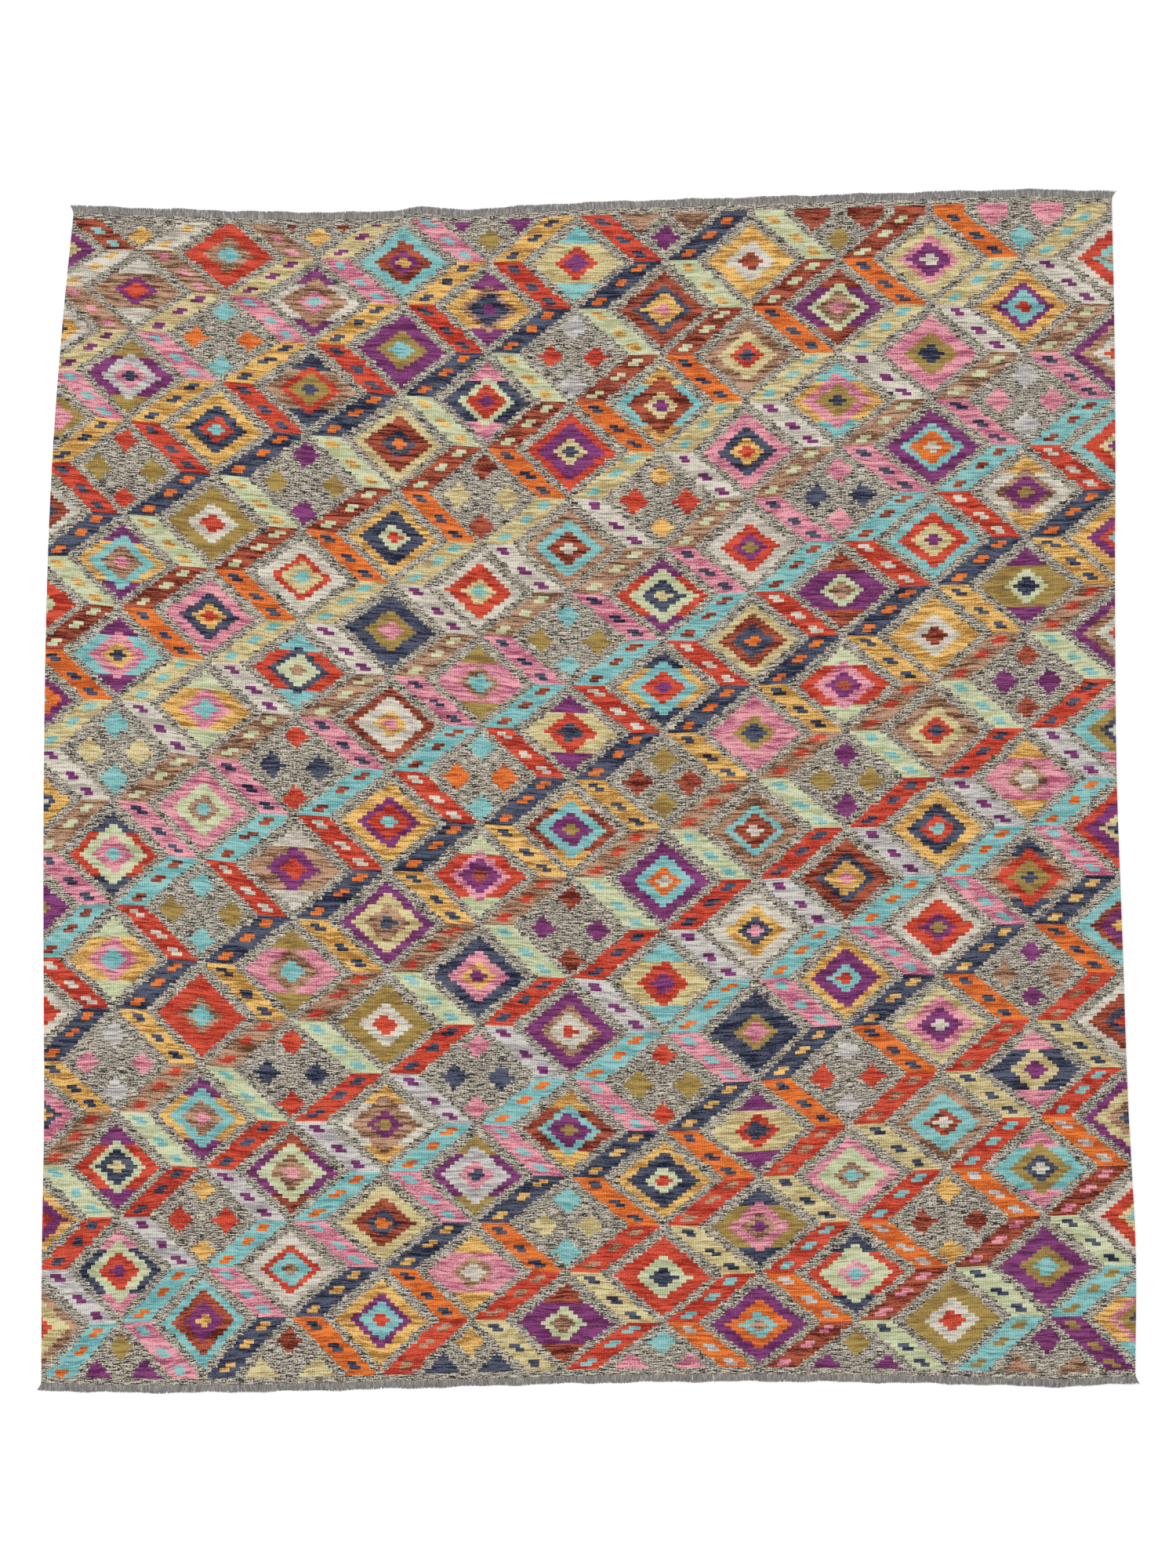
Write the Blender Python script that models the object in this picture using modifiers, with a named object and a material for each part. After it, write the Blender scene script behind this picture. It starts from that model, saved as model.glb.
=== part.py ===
"""A flat-woven wool kilim, lying flat on the floor with a short cut fringe at both ends.

The woven field is one thin slab whose four edges wander a little, as hand weaving does.
Each fringe is the row of warp ends past the field's last weft: a narrow strip of packed
roots with its locks lying flat. Lengths are in metres, +X runs across the rug along the
weft, +Y runs along the warp, and Z = 0 is the floor. The origin is on the floor, under the
middle of the whole footprint.
"""

import random

import bmesh
import bpy

MM = 0.001

# The rug's own sizes
FIELD_THICKNESS = 4.0 * MM
SIDE_X = 1245.0 * MM        # from the middle line to a straight side
END_Y = 1372.0 * MM         # from the middle line to a straight end
FRINGE_THICKNESS = 3.0 * MM
FRINGE_LENGTH = 20.0 * MM   # from the field's last weft to a lock's tip
ROOT_STRIP_DEPTH = 4.5 * MM
PARTING = 0.3 * MM          # air between the field's edge and the strip of roots

# Locks of one fringe
LOCKS = 144
LOCK_ROOT_SHARE = 0.80      # of the pitch, at the roots
LOCK_TIP_SHARE = 0.50       # of the pitch, at the tip
LOCK_LENGTH_SPREAD = 2.4 * MM
LOCK_LEAN_SPREAD = 1.8 * MM
CORNER_LOCKS = 3            # locks that fan out past the side at each corner
CORNER_FAN = 10.0 * MM      # how far the outermost tip leans out
SEED = 7

SIDE_POINTS = 40            # points along each side of the field
END_POINTS = LOCKS          # points along each end, close enough for the fringe to follow

# How each edge departs from its straight line: (share along the edge, millimetres outward).
# Sides run from the near end to the far end, and ends from the left side to the right side.
LEFT_SIDE = [(0.00, -4), (0.10, 2), (0.22, 5), (0.36, 16), (0.50, 25),
             (0.66, 29), (0.78, 24), (0.90, 8), (1.00, -12)]
RIGHT_SIDE = [(0.00, -2), (0.10, 6), (0.22, -3), (0.36, -7), (0.50, -11),
              (0.66, -4), (0.78, 5), (0.90, 10), (1.00, 11)]
NEAR_END = [(0.00, -8), (0.08, -3), (0.20, -5), (0.34, -13), (0.50, -24),
            (0.67, -28), (0.84, -22), (0.93, -16), (1.00, -24)]
FAR_END = [(0.00, 1), (0.09, -7), (0.21, -15), (0.30, -13), (0.335, -2),
           (0.37, -9), (0.47, 6), (0.63, 20), (0.80, 33), (0.93, 41), (1.00, 36)]


def smooth_value(table, share):
    """The table's value at a share of its length, on a smooth curve through its rows."""
    last = len(table) - 1
    row = 0
    while row < last - 1 and share > table[row + 1][0]:
        row += 1
    start, start_value = table[row]
    end, end_value = table[row + 1]
    span = end - start

    def slope(at):
        before = table[max(at - 1, 0)]
        after = table[min(at + 1, last)]
        return (after[1] - before[1]) / (after[0] - before[0])

    part = (share - start) / span
    rise = part * part * (3.0 - 2.0 * part)
    leave = part * (1.0 - part) ** 2 * slope(row) * span
    arrive = -part * part * (1.0 - part) * slope(row + 1) * span
    return start_value + (end_value - start_value) * rise + leave + arrive


def field_point(across, along):
    """The place on the floor for a share of the width and a share of the length."""
    left = -SIDE_X - smooth_value(LEFT_SIDE, along) * MM
    right = SIDE_X + smooth_value(RIGHT_SIDE, along) * MM
    near = -END_Y - smooth_value(NEAR_END, across) * MM
    far = END_Y + smooth_value(FAR_END, across) * MM
    return left + (right - left) * across, near + (far - near) * along


def field_outline():
    """The woven field's edge, anticlockwise from its near left corner."""
    along_ends = [step / END_POINTS for step in range(END_POINTS)]
    along_sides = [step / SIDE_POINTS for step in range(SIDE_POINTS)]
    near = [field_point(share, 0.0) for share in along_ends]
    right = [field_point(1.0, share) for share in along_sides]
    far = [field_point(1.0 - share, 1.0) for share in along_ends]
    left = [field_point(0.0, 1.0 - share) for share in along_sides]
    return near + right + far + left


def fringe_place(end, share, out, sideways=0.0):
    """A place out past one end of the field: end is -1 for the near end, 1 for the far end."""
    x, y = field_point(share, 0.5 + 0.5 * end)
    return x + sideways, y + end * out


def column_share(column):
    """Where a column of the root strip starts: locks and the gaps between them take turns."""
    lock, side = divmod(column - 1, 2)
    gap = 0.5 * (1.0 - LOCK_ROOT_SHARE)
    share = (lock + (1.0 - gap if side else gap)) / LOCKS
    return min(max(share, 0.0), 1.0)


def lock_tip(end, lock, dice):
    """The two corners of a lock's tip."""
    middle = (lock + 0.5) / LOCKS
    half_tip = 0.5 * LOCK_TIP_SHARE / LOCKS
    length = FRINGE_LENGTH + dice.uniform(-1.0, 1.0) * LOCK_LENGTH_SPREAD
    lean = dice.uniform(-1.0, 1.0) * LOCK_LEAN_SPREAD
    from_corner = min(lock, LOCKS - 1 - lock)
    if from_corner < CORNER_LOCKS:
        outward = -1.0 if lock < LOCKS / 2 else 1.0
        lean = outward * CORNER_FAN * (1.0 - from_corner / CORNER_LOCKS)
    return [fringe_place(end, middle + side * half_tip, length, lean) for side in (-1, 1)]


def fringe_sheet(end, seed):
    """One fringe as a flat sheet of faces: a strip of roots with a lock drawn out of every
    second column."""
    dice = random.Random(seed)
    columns = 2 * LOCKS + 1
    sheet = bmesh.new()
    bmesh.ops.create_grid(sheet, x_segments=columns, y_segments=1, size=0.5)
    for corner in sheet.verts:
        share = column_share(round((corner.co.x + 0.5) * columns))
        out = ROOT_STRIP_DEPTH if corner.co.y > 0.0 else PARTING
        corner.co.x, corner.co.y = fringe_place(end, share, out)
    sheet.faces.ensure_lookup_table()
    strip = sorted(sheet.faces, key=lambda face: face.calc_center_median().x)
    for lock, root in enumerate(strip[1::2]):
        outer = max(root.edges, key=lambda edge: end * (edge.verts[0].co.y + edge.verts[1].co.y))
        drawn = bmesh.ops.extrude_edge_only(sheet, edges=[outer])["geom"]
        tips = [part for part in drawn if isinstance(part, bmesh.types.BMVert)]
        tips.sort(key=lambda corner: corner.co.x)
        for corner, (x, y) in zip(tips, lock_tip(end, lock, dice)):
            corner.co.x, corner.co.y = x, y
    if end < 0:
        bmesh.ops.reverse_faces(sheet, faces=sheet.faces)
    return sheet


def footprint_middle(outlines):
    """The middle of the box around all the outlines."""
    across = [place[0] for outline in outlines for place in outline]
    along = [place[1] for outline in outlines for place in outline]
    return 0.5 * (min(across) + max(across)), 0.5 * (min(along) + max(along))


def yarn_material(name, colour, roughness):
    """A plain wool finish."""
    material = bpy.data.materials.new(name)
    material.use_nodes = True
    shader = material.node_tree.nodes["Principled BSDF"]
    shader.inputs["Base Color"].default_value = (*colour, 1.0)
    shader.inputs["Roughness"].default_value = roughness
    shader.inputs["Metallic"].default_value = 0.0
    return material


def lay_field(outline, middle, material, collection):
    """The woven field: its filled outline with the cloth's thickness."""
    curve = bpy.data.curves.new("kilim_field", "CURVE")
    curve.dimensions = "2D"
    curve.fill_mode = "BOTH"
    curve.extrude = 0.5 * FIELD_THICKNESS
    spline = curve.splines.new("POLY")
    spline.points.add(len(outline) - 1)
    for point, (x, y) in zip(spline.points, outline):
        point.co = (x - middle[0], y - middle[1], 0.0, 1.0)
    spline.use_cyclic_u = True
    curve.materials.append(material)
    field = bpy.data.objects.new("kilim_field", curve)
    field.location = (0.0, 0.0, 0.5 * FIELD_THICKNESS)
    collection.objects.link(field)


def lay_fringe(name, sheet, middle, material, collection):
    """One fringe: its flat sheet lies on the floor and is thickened upwards."""
    mesh = bpy.data.meshes.new(name)
    bmesh.ops.translate(sheet, vec=(-middle[0], -middle[1], 0.0), verts=sheet.verts)
    sheet.to_mesh(mesh)
    sheet.free()
    mesh.materials.append(material)
    fringe = bpy.data.objects.new(name, mesh)
    collection.objects.link(fringe)
    depth = fringe.modifiers.new("thickness", "SOLIDIFY")
    depth.thickness = FRINGE_THICKNESS
    depth.offset = 1.0


def build_kilim():
    """The whole rug: the woven field and the fringe at each end."""
    for thing in list(bpy.data.objects):
        bpy.data.objects.remove(thing, do_unlink=True)
    rug = bpy.data.collections.new("kilim_rug")
    bpy.context.scene.collection.children.link(rug)

    outline = field_outline()
    near_sheet = fringe_sheet(-1, SEED)
    far_sheet = fringe_sheet(1, SEED + 1)
    near_places = [corner.co for corner in near_sheet.verts]
    far_places = [corner.co for corner in far_sheet.verts]
    middle = footprint_middle([outline, near_places, far_places])

    woven_wool = yarn_material("woven_wool", (0.42, 0.33, 0.27), 0.92)
    warp_ends = yarn_material("warp_ends", (0.22, 0.21, 0.21), 0.95)
    lay_field(outline, middle, woven_wool, rug)
    lay_fringe("fringe_near", near_sheet, middle, warp_ends, rug)
    lay_fringe("fringe_far", far_sheet, middle, warp_ends, rug)


build_kilim()
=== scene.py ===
# %% [markdown]
# # A kilim rug, built as a lesson
# A kilim is a flat-woven wool rug. Its weft is beaten so tight that it hides the warp, and
# where two colours meet, each weft turns back on its own warp, so every slanting line climbs
# in steps. This lesson builds the cloth as a thin sheet, counts the pattern in steps and
# courses as a weaver does, and lets a material lay the yarns by that count.
# The solids of the rug come first: they say where the cloth lies and how big it is.

# %% Load the rug's solids
import math
import random

import bpy
import numpy as np
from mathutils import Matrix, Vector, noise


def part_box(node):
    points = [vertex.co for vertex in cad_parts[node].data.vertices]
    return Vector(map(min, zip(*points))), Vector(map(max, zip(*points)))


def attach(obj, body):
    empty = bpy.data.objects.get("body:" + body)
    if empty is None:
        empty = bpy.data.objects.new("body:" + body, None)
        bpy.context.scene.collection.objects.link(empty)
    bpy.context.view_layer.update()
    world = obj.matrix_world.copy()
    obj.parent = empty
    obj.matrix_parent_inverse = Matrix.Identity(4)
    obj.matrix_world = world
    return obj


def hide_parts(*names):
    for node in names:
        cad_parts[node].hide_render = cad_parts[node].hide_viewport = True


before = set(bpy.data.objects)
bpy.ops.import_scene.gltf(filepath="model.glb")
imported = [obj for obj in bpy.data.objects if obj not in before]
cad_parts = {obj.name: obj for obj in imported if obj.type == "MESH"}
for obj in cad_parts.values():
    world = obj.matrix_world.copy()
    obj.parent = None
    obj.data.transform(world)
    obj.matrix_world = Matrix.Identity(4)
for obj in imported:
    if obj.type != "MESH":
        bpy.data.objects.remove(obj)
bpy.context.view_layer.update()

MM = 0.001
field_low, field_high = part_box("kilim_field")
CLOTH_THICKNESS = field_high[2] - field_low[2]
print("field box in metres:", [round(high - low, 3) for low, high in zip(field_low, field_high)])

# %% [markdown]
# ## The outline
# Hand-woven edges wander. The solid field already has the true outline, so the cloth reads
# it from there instead of repeating it: the points are put in order by their angle round the
# middle, the four corners split them into two sides and two ends, and each of those becomes
# a line that can be asked for its place. At both ends the cloth goes a few millimetres past the
# solid, where the last plain wefts are packed round the roots of the fringe.

# %% Read the outline of the field
def outline_lines(node):
    """The field's left, right, near and far edges as point lists, each in rising order."""
    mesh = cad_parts[node].data
    places = np.zeros(len(mesh.vertices) * 3)
    mesh.vertices.foreach_get("co", places)
    flat = np.unique(np.round(places.reshape(-1, 3)[:, :2], 6), axis=0)
    flat = flat[np.argsort(np.arctan2(flat[:, 1], flat[:, 0]))]

    def corner(side_x, side_y):
        return int(np.argmax(flat[:, 0] * side_x + flat[:, 1] * side_y))

    def run(start, end):
        count = (end - start) % len(flat)
        return flat[[(start + step) % len(flat) for step in range(count + 1)]]

    near_left, near_right = corner(-1, -1), corner(1, -1)
    far_right, far_left = corner(1, 1), corner(-1, 1)
    near = run(near_left, near_right)
    right = run(near_right, far_right)
    far = run(far_right, far_left)[::-1]
    left = run(far_left, near_left)[::-1]
    return left, right, near, far


left_line, right_line, near_line, far_line = outline_lines("kilim_field")
END_BAND = 3.0 * MM         # of cloth past each end of the solid


def left_x(y):
    return np.interp(y, left_line[:, 1], left_line[:, 0])


def right_x(y):
    return np.interp(y, right_line[:, 1], right_line[:, 0])


def near_y(x):
    return np.interp(x, near_line[:, 0], near_line[:, 1]) - END_BAND


def far_y(x):
    return np.interp(x, far_line[:, 0], far_line[:, 1]) + END_BAND


print("outline points:", [len(line) for line in (left_line, right_line, near_line, far_line)])

# %% [markdown]
# ## The weaver's count
# The pattern is counted, not drawn. One step is two warp ribs wide and one course high. A
# column of medallions is 21 steps wide, and a medallion stands every 26 courses, with the
# next column shifted by half of that. Rows are numbered by half repeats from the far end.
# The beat of the weft is uneven, so the rows bow, most of all upwards along the left side, and
# the columns lean a little. Two tables hold how far, for a few columns and rows, and a smooth
# curve fills in. Their values were typed in as whole millimetres, from measurements of how far
# the rendered pattern lay from the photograph's.

# %% Counts, the bow of the rows and the lean of the columns
COLUMN_STEPS = 21.0
HALF_ROW = 13.0             # courses from one row of crossings to the next
COLUMNS = 12
HALF_ROWS = 24
RIBS_PER_STEP = 2.0
FIRST_STEP = 4.2            # steps of the first column that are cut off at the left edge
LAST_STEP = COLUMNS * COLUMN_STEPS
STEP = 10.05 * MM           # mean width of a step
COURSE = 8.69 * MM          # mean height of a course
ROW_ZERO_Y = 1341.0 * MM    # the far row of crossings

RISE_COLUMNS = [0, 1, 3, 5, 7, 9, 11, 12]
RISE_ROWS = [
    # half row, then the rise in millimetres at each of the columns above
    (0, 17, 15, -2, -3, 4, 10, 17, 18),
    (3, 74, 58, 26, 3, -3, 5, 4, 6),
    (7, 82, 64, 28, -5, -18, -2, 10, 12),
    (12, 76, 70, 34, 9, -3, 1, 4, 4),
    (15, 42, 45, 15, 1, -13, -4, 0, 2),
    (18, 22, 27, 2, -8, -26, -7, 9, 12),
    (21, 7, 10, 3, -1, -10, -1, 13, 13),
    (23, -8, -2, 12, 5, -1, 2, 14, 12),
    (24, -22, -19, -5, -1, 12, 4, 2, -1),
]

LEAN_COLUMNS = [0, 1, 3, 4, 6, 7, 8, 9, 11, 12]
LEAN_ROWS = [
    # half row, then the lean to the right in millimetres at each of the columns above
    (0, -6, -2, 0, -8, -13, -13, -19, -21, -9, -4),
    (4, 12, 1, 5, 8, -12, -13, -24, -20, 0, 2),
    (8, 12, 4, 2, 2, -8, 1, -3, -4, 4, 6),
    (12, 2, -4, -7, 2, -1, 4, 4, 5, 4, 2),
    (16, 4, -8, -18, -11, -9, -6, -5, -8, -1, -6),
    (24, 40, 14, -27, -31, -40, -26, -14, -2, 10, 13),
]


def smooth_line(knots, values, at):
    """Values on a smooth curve through a few knots, kept level past the last ones."""
    knots, values = np.asarray(knots, float), np.asarray(values, float)
    slopes = np.gradient(values, knots)
    at = np.clip(at, knots[0], knots[-1])
    row = np.clip(np.searchsorted(knots, at, side="right") - 1, 0, len(knots) - 2)
    span = knots[row + 1] - knots[row]
    part = (at - knots[row]) / span
    rise = part * part * (3.0 - 2.0 * part)
    leave = part * (1.0 - part) ** 2 * slopes[row] * span
    arrive = -part * part * (1.0 - part) * slopes[row + 1] * span
    return values[row] * (1.0 - rise) + values[row + 1] * rise + leave + arrive


def knot_shares(knots, at):
    """How much each knot counts for the smooth curve at the given places."""
    return np.column_stack([smooth_line(knots, only_one, at) for only_one in np.eye(len(knots))])


def from_table(columns, rows, step, course):
    """A table's value at each place of the pattern, in metres."""
    values = np.array([row[1:] for row in rows], float)
    by_column = knot_shares(columns, step / COLUMN_STEPS)
    by_row = knot_shares([row[0] for row in rows], course / HALF_ROW)
    return np.einsum("ni,ij,nj->n", by_row, values, by_column) * MM


def soft_noise(step, course, step_scale, course_scale, seed):
    """A smooth noise between -1 and 1 that lies in the cloth."""
    return np.array([noise.noise(Vector((u * step_scale, v * course_scale, seed)))
                     for u, v in zip(step, course)])


WANDER = 3.0 * MM           # how far a course wanders over a hand's breadth
WAVER = 1.2 * MM            # and over a finger's length


def weave_y(step, course):
    wander = WANDER * soft_noise(step, course, 0.065, 0.09, 2.5)
    waver = WAVER * soft_noise(step, course, 0.19, 0.31, 7.5)
    even = ROW_ZERO_Y - course * COURSE
    return even + from_table(RISE_COLUMNS, RISE_ROWS, step, course) + wander + waver


def weave_x(step, course, y):
    share = (step - FIRST_STEP) / (LAST_STEP - FIRST_STEP)
    even = left_x(y) + (right_x(y) - left_x(y)) * share
    return even + from_table(LEAN_COLUMNS, LEAN_ROWS, step, course)


# %% [markdown]
# ## The cloth as a sheet
# The sheet starts as a grid, laid by count: its lines stand at whole parts of a column and
# of a row, so that each face belongs to one medallion and to one band of the pattern. The
# outermost lines follow the solid's outline instead. The count itself is stored as a UV map,
# so the pattern is woven into the cloth and follows it wherever it goes. A second number,
# the distance to the nearer end, keeps the plain strip before each fringe.

# %% Lay the grid by count
LINES_PER_COLUMN = 16
LINES_PER_HALF_ROW = 8
STEP_LINE = COLUMN_STEPS / LINES_PER_COLUMN
COURSE_LINE = HALF_ROW / LINES_PER_HALF_ROW
COURSE_SHIFT = -0.5         # a band starts half a course before its row of crossings
FIRST_STEP_LINE = 6         # one wider face reaches from this line to the left edge
FIRST_COURSE_LINE = 4       # and one from this line to the far end

step_lines = np.arange(FIRST_STEP_LINE, COLUMNS * LINES_PER_COLUMN - 1) * STEP_LINE
course_numbers = np.arange(FIRST_COURSE_LINE, HALF_ROWS * LINES_PER_HALF_ROW)
course_lines = course_numbers * COURSE_LINE + COURSE_SHIFT
FACES_ACROSS = len(step_lines) + 1
FACES_ALONG = len(course_lines) + 1

bpy.ops.object.select_all(action="DESELECT")
bpy.ops.mesh.primitive_grid_add(x_subdivisions=FACES_ACROSS, y_subdivisions=FACES_ALONG, size=2.0)
cloth = bpy.context.object
cloth.name = cloth.data.name = "woven_field"


def grid_places(obj):
    """The column and row of every vertex of a fresh grid, counted from the far left."""
    places = np.zeros(len(obj.data.vertices) * 3)
    obj.data.vertices.foreach_get("co", places)
    places = places.reshape(-1, 3)
    across = np.unique(np.round(places[:, 0], 5), return_inverse=True)[1]
    along = np.unique(np.round(-places[:, 1], 5), return_inverse=True)[1]
    return across, along


across, along = grid_places(cloth)
print("grid:", across.max(), "by", along.max(), "faces")

OUTLINE_ROUNDS = 3


def lay_by_count(across, along):
    """Every vertex's place and its count. The outer lines follow the outline, where the sides
    and the ends depend on each other, so they are settled in a few rounds."""
    step = step_lines[np.clip(across - 1, 0, len(step_lines) - 1)].astype(float)
    course = course_lines[np.clip(along - 1, 0, len(course_lines) - 1)].astype(float)
    line_y = weave_y(step, course)
    line_x = weave_x(step, course, line_y)
    x, y = line_x.copy(), line_y.copy()
    on_left, on_right = across == 0, across == FACES_ACROSS
    on_far, on_near = along == 0, along == FACES_ALONG
    for _ in range(OUTLINE_ROUNDS):
        y[on_far], y[on_near] = far_y(x[on_far]), near_y(x[on_near])
        x[on_left], x[on_right] = left_x(y[on_left]), right_x(y[on_right])
    return x, y, step + (x - line_x) / STEP, course - (y - line_y) / COURSE


x, y, step, course = lay_by_count(across, along)
from_end = np.minimum(far_y(x) - y, y - near_y(x))
print("courses at the far edge:", course[along == 0].min().round(1), course[along == 0].max().round(1))
print("courses at the near edge:", course[along == FACES_ALONG].min().round(1),
      course[along == FACES_ALONG].max().round(1))

# %% [markdown]
# ## How it lies
# A kilim this size never lies dead flat. Its surface swells by a millimetre or two in long
# soft ripples, and it is drawn in a little, as a shallow pucker, wherever slits and turns
# slacken the cloth. These are soft sums of waves, low enough that the rug still rests on the
# floor, and they fade out at the edges. One small buckle at the far end is given its own place.

# %% Ripples and puckers
RIPPLE = 1.6 * MM
PUCKER = 0.35 * MM
BUCKLE = 5.0 * MM
BUCKLE_X = -0.398
BUCKLE_REACH = 0.075        # to each side of its middle
BUCKLE_LENGTH = 0.09        # down from the far end
CALM_RIPPLE = 0.12          # the ripples fade out this near to an edge
CALM_PUCKER = 0.03          # and the puckers this near


def lift(x, y, step, course):
    """How far the cloth stands off the floor."""
    long_wave = np.sin(2.3 * x + 1.1 * y + 0.4) * np.sin(1.7 * y - 0.9 * x + 1.2)
    mid_wave = np.sin(5.1 * x - 3.7 * y + 2.0) * np.sin(4.3 * y + 1.9 * x)
    ripple = RIPPLE * np.clip(0.55 * long_wave + 0.35 * mid_wave + 0.25, 0.0, 1.0)
    column_wave = np.cos(2.0 * math.pi * step / COLUMN_STEPS)
    row_wave = np.cos(math.pi * course / HALF_ROW)
    pucker = PUCKER * (1.0 - column_wave * row_wave)
    edge = np.minimum(np.minimum(x - left_x(y), right_x(y) - x), from_end)
    calm = np.clip(edge / CALM_RIPPLE, 0.0, 1.0)
    calm_pucker = np.clip(edge / CALM_PUCKER, 0.0, 1.0)
    buckle = np.exp(-((x - BUCKLE_X) / BUCKLE_REACH) ** 2)
    buckle = buckle * np.exp(-(far_y(x) - y) / BUCKLE_LENGTH)
    return ripple * calm + pucker * calm_pucker + BUCKLE * buckle


height = lift(x, y, step, course)
places = np.column_stack([x, y, height + CLOTH_THICKNESS])
cloth.data.vertices.foreach_set("co", places.ravel())
cloth.data.update()
print("highest lift in millimetres:", round(float(height.max()) / MM, 2))

# %% Store the count and the distance to the end
weave_map = cloth.data.uv_layers[0]
weave_map.name = "weave_count"
corner_vertex = np.zeros(len(cloth.data.loops), int)
cloth.data.loops.foreach_get("vertex_index", corner_vertex)
weave_map.data.foreach_set("uv", np.column_stack([step, course])[corner_vertex].ravel())
end_distance = cloth.data.attributes.new("from_end", "FLOAT", "POINT")
end_distance.data.foreach_set("value", from_end)

# %% [markdown]
# ## The yarns
# Each yarn was dyed by hand, so it holds a darker and a lighter strand. A weaver calls the
# streaks where they change abrash. The list gives both as web colours.
# Most were adjusted until the yarn's mean tone came close to the photograph's.
# Their order is their number, and that number is all that the pattern stores.

# %% List the yarns
YARNS = {
    # name: darker strand, lighter strand
    "red": ("#922217", "#d6543c"),
    "orange": ("#ad4c1c", "#ea7e38"),
    "amber": ("#9c6a2e", "#edc072"),
    "cream": ("#a28c5c", "#dacc9b"),
    "green": ("#a5aa82", "#d0d4b0"),
    "turquoise": ("#5e9a9c", "#92c4c1"),
    "navy": ("#12162c", "#575c6e"),
    "purple": ("#561d4a", "#884279"),
    "pink": ("#a04c68", "#e8a3aa"),
    "olive": ("#7f6536", "#aa904f"),
    "brown": ("#5a3825", "#c0997c"),
    "maroon": ("#4c120a", "#b25a41"),
    "white": ("#a29a8d", "#dcd5c5"),
    "lilac": ("#968f90", "#d2cec6"),
}
YARN_SLOTS = 16.0           # a yarn's number is its place among this many
yarn_number = {name: (index + 0.5) / YARN_SLOTS for index, name in enumerate(YARNS)}


def linear(web_colour):
    """A web colour as the four linear values that a shader takes."""
    parts = [int(web_colour[at:at + 2], 16) / 255.0 for at in (1, 3, 5)]
    return tuple(p / 12.92 if p <= 0.04045 else ((p + 0.055) / 1.055) ** 2.4 for p in parts) + (1.0,)


print(len(YARNS), "yarns")

# %% [markdown]
# ## The bands
# Slanting bands join each crossing to the next ones at its right, one climbing and one
# falling, so they make arrow heads that point left. Along a climbing line of crossings every
# climbing band has the same pair of yarns and every falling one another pair, and the next
# line has its own. Each band carries three small stepped dashes in its second yarn.

# %% List the bands' yarns, line by line
BAND_YARNS = [
    # climbing band and its dashes, falling band and its dashes
    ("maroon", "turquoise", "maroon", "turquoise"),
    ("white", "amber", "brown", "pink"),
    ("cream", "purple", "pink", "turquoise"),
    ("amber", "navy", "red", "navy"),
    ("navy", "orange", "green", "amber"),
    ("maroon", "green", "orange", "navy"),
    ("cream", "turquoise", "white", "purple"),
    ("brown", "green", "pink", "navy"),
    ("turquoise", "maroon", "red", "white"),
    ("navy", "orange", "amber", "navy"),
    ("brown", "red", "green", "turquoise"),
    ("red", "navy", "lilac", "purple"),
    ("turquoise", "orange", "pink", "turquoise"),
    ("navy", "amber", "orange", "navy"),
    ("red", "brown", "cream", "navy"),
    ("red", "turquoise", "orange", "lilac"),
    ("maroon", "pink", "green", "navy"),
    ("turquoise", "olive", "purple", "olive"),
]


def band_of(step, course):
    """The band yarns at a place: its climbing line, and whether the band there falls."""
    column = int(step // COLUMN_STEPS)
    half_row = min(max(int((course - COURSE_SHIFT) // HALF_ROW), 0), HALF_ROWS - 1)
    falls = (half_row - column) % 2 == 0
    line = (column + half_row + (0 if falls else 1)) // 2
    yarns = BAND_YARNS[min(max(line, 0), len(BAND_YARNS) - 1)]
    return yarns[2:] if falls else yarns[:2]


print(len(BAND_YARNS), "lines of bands")

# %% [markdown]
# ## The medallions
# Between the bands stands a stepped medallion, of rings round a small heart. In some the
# outermost ring changes yarn at the top and bottom tips. Every few rows a cell holds four
# small diamonds on the plain ground instead, and at both ends of the rug such cells are cut, so
# two of the diamonds show as halves. A weaver takes the yarns as they come to hand, so the
# recipes are drawn from a list, with a fixed seed, and a draw is passed over when its outer
# yarn already stands beside it.

# %% List the medallions and draw them
RINGED = [
    # outer ring, further rings, heart
    "olive white red", "red brown turquoise", "pink navy amber red",
    "amber purple red turquoise", "white maroon navy red", "pink olive navy",
    "navy olive pink", "cream pink purple white", "purple cream brown navy",
    "amber white maroon", "red purple cream navy", "amber navy green red",
    "white amber navy pink", "navy pink amber purple", "amber navy red turquoise",
    "purple brown white red", "pink green brown turquoise", "brown cream red navy",
    "maroon navy amber pink", "purple orange turquoise brown", "brown turquoise maroon white",
    "white red turquoise brown", "white red purple olive", "turquoise red cream purple",
    "purple olive turquoise", "maroon white amber pink", "purple turquoise orange white",
    "red green navy", "amber purple turquoise red", "cream maroon navy orange",
    "turquoise maroon purple amber", "white red cream turquoise",
]
TIPPED = [
    # tips, then the sides of the outer ring, further rings, heart
    "maroon purple green brown", "navy brown red olive navy", "turquoise amber pink olive navy",
    "purple red green navy cream", "white brown purple red", "olive pink brown turquoise",
    "pink turquoise olive navy white", "navy amber turquoise red purple",
    "maroon purple green brown pink", "purple cream red navy", "turquoise cream red purple",
    "pink navy cream purple", "purple amber brown navy purple", "amber pink brown white",
    "purple white brown pink turquoise", "green amber pink turquoise",
    "green red pink purple maroon", "amber turquoise maroon cream purple",
    "purple olive green navy", "navy olive pink brown purple",
    "amber maroon turquoise purple olive", "purple amber turquoise brown pink",
    "navy red green pink turquoise", "purple turquoise pink amber navy",
    "pink navy green red purple", "turquoise red navy green brown",
    "olive purple lilac pink navy", "amber white brown purple olive",
]
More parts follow.
